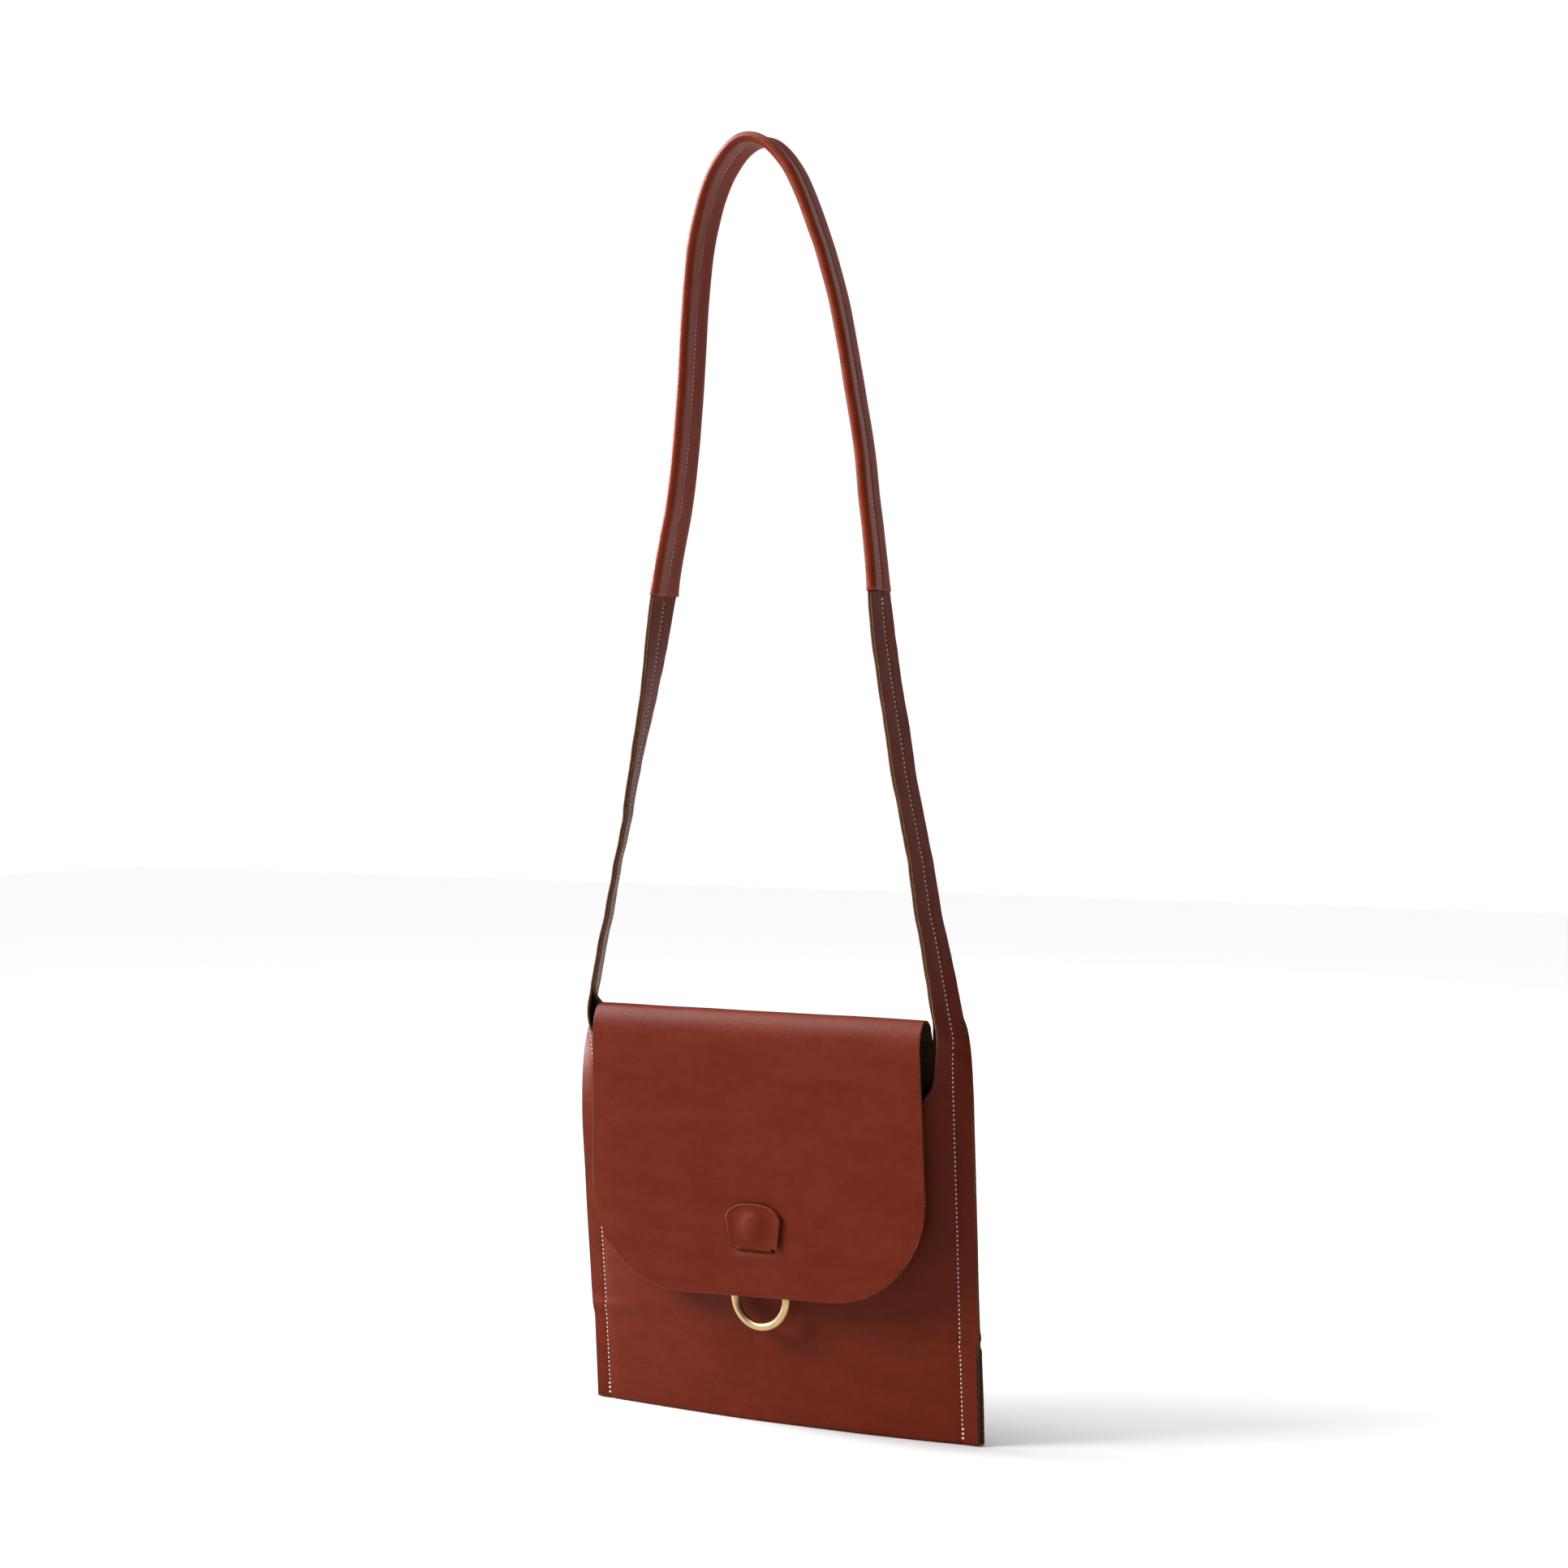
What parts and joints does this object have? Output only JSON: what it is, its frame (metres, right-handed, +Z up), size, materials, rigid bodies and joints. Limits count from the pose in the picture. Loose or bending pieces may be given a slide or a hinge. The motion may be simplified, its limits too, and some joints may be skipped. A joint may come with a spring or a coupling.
{
  "type": "crossbody purse",
  "caption": "Flat leather crossbody purse with a rolled flap, ring pull tab, magnetic snap, inverted bottom pleat and a two-ply strap with a sewn sleeve.",
  "frame": {"origin": "underside of the strap's crown, where a shoulder or hook carries it", "axes": "+Z up along the strap, -Y out of the flap side, +X to the right seen from the front"},
  "size_m": [0.2782, 0.0504, 0.796],
  "materials": {
    "leather": "smooth vegetable-tanned leather with a low sheen",
    "lining_leather": "suede flesh side",
    "thread": "waxed thread",
    "brass": "satin",
    "steel": "nickel plated"
  },
  "bodies": {
    "bag": {"back_panel": "leather", "front_panel": "leather", "bottom_pleat": "leather", "snap_magnet": "steel", "snap_magnet_washer": "steel", "snap_patch": "lining_leather", "side_thread_left": "thread", "side_thread_right": "thread"},
    "flap": {"flap": "leather", "pull_tab": "leather", "snap_stud": "steel", "snap_stud_washer": "steel"},
    "ring": {"pull_ring": "brass"},
    "strap_legs": {"leg_front_ply_left": "leather", "leg_back_ply_left": "leather", "leg_front_ply_right": "leather", "leg_back_ply_right": "leather", "leg_thread_left": "thread", "leg_thread_right": "thread"},
    "strap_top": {"strap_sleeve": "leather", "strap_core_outer": "leather", "strap_core_inner": "leather", "sleeve_thread": "thread"}
  },
  "joints": [
    {"name": "strap_bend", "type": "hinge", "parent": "strap_top", "child": "strap_legs", "pos_m": [0.01, -0.00055, -0.2911], "axis": [1, 0, 0], "range_deg": [-60, 60]},
    {"name": "strap_fold", "type": "hinge", "parent": "strap_legs", "child": "bag", "pos_m": [0.01, -0.00016, -0.5271], "axis": [1, 0, 0], "range_deg": [-85, 90]},
    {"name": "flap_open", "type": "hinge", "parent": "bag", "child": "flap", "pos_m": [0.01, -0.0138, -0.5415], "axis": [-1, 0, 0], "range_deg": [0, 150]},
    {"name": "ring_swing", "type": "hinge", "parent": "flap", "child": "ring", "pos_m": [0.011, -0.0121, -0.6893], "axis": [1, 0, 0], "range_deg": [-4, 10]}
  ]
}
